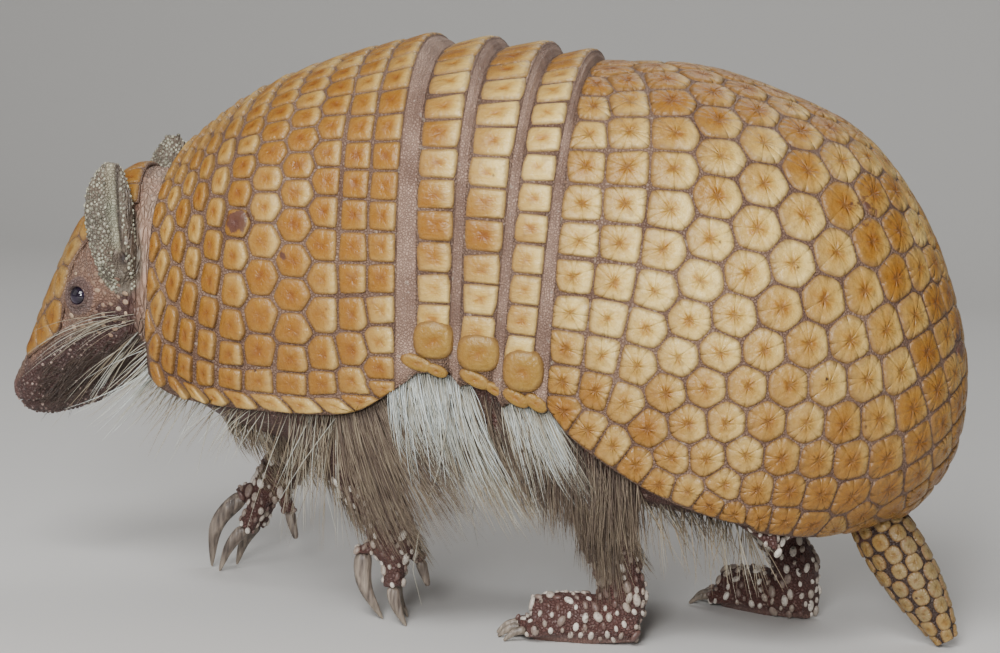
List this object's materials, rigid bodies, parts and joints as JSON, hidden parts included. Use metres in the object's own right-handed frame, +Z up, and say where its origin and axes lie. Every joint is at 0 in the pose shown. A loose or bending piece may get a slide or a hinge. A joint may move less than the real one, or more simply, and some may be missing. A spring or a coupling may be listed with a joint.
{
  "type": "three-banded armadillo",
  "caption": "Life-size still model of a small domed armadillo walking, head low, with banded bony shell, shielded crown, tall ears, long digging claws and a short stout tail",
  "frame": {"origin": "Centre of the bounding box in plan, on the floor the animal stands on", "axes": "+Z up; +X runs from head to tail, so the animal faces -X; its left side is at -Y"},
  "size_m": [0.2548, 0.103, 0.151],
  "materials": {
    "scute_horn": "satin straw-yellow horn",
    "bare_skin": "matt brown skin",
    "coat_hair": "matt grey-brown hair",
    "claw_horn": "satin grey-brown horn",
    "eye_dark": "wet gloss black"
  },
  "bodies": {
    "root": {"shell_front": "scute_horn", "shell_band_1": "scute_horn", "shell_band_2": "scute_horn", "shell_band_3": "scute_horn", "shell_rear": "scute_horn", "head_shield": "scute_horn", "trunk": "bare_skin", "head": "bare_skin", "neck": "bare_skin", "eye_left": "eye_dark", "eye_right": "eye_dark", "ear_left": "bare_skin", "ear_right": "bare_skin", "leg_fore_left": "bare_skin", "leg_fore_right": "bare_skin", "leg_hind_left": "bare_skin", "leg_hind_right": "bare_skin", "foot_fore_left": "bare_skin", "foot_fore_right": "bare_skin", "foot_hind_left": "bare_skin", "foot_hind_right": "bare_skin", "claw_fore_left_1": "claw_horn", "claw_fore_left_2": "claw_horn", "claw_fore_left_3": "claw_horn", "claw_fore_left_4": "claw_horn", "claw_fore_right_1": "claw_horn", "claw_fore_right_2": "claw_horn", "claw_fore_right_3": "claw_horn", "claw_fore_right_4": "claw_horn", "claw_hind_left_1": "claw_horn", "claw_hind_left_2": "claw_horn", "claw_hind_left_3": "claw_horn", "claw_hind_left_4": "claw_horn", "claw_hind_left_5": "claw_horn", "claw_hind_right_1": "claw_horn", "claw_hind_right_2": "claw_horn", "claw_hind_right_3": "claw_horn", "claw_hind_right_4": "claw_horn", "claw_hind_right_5": "claw_horn", "tail": "bare_skin", "coat_fringe_left": "coat_hair", "coat_fringe_right": "coat_hair", "throat_bristles": "coat_hair"}
  },
  "joints": []
}
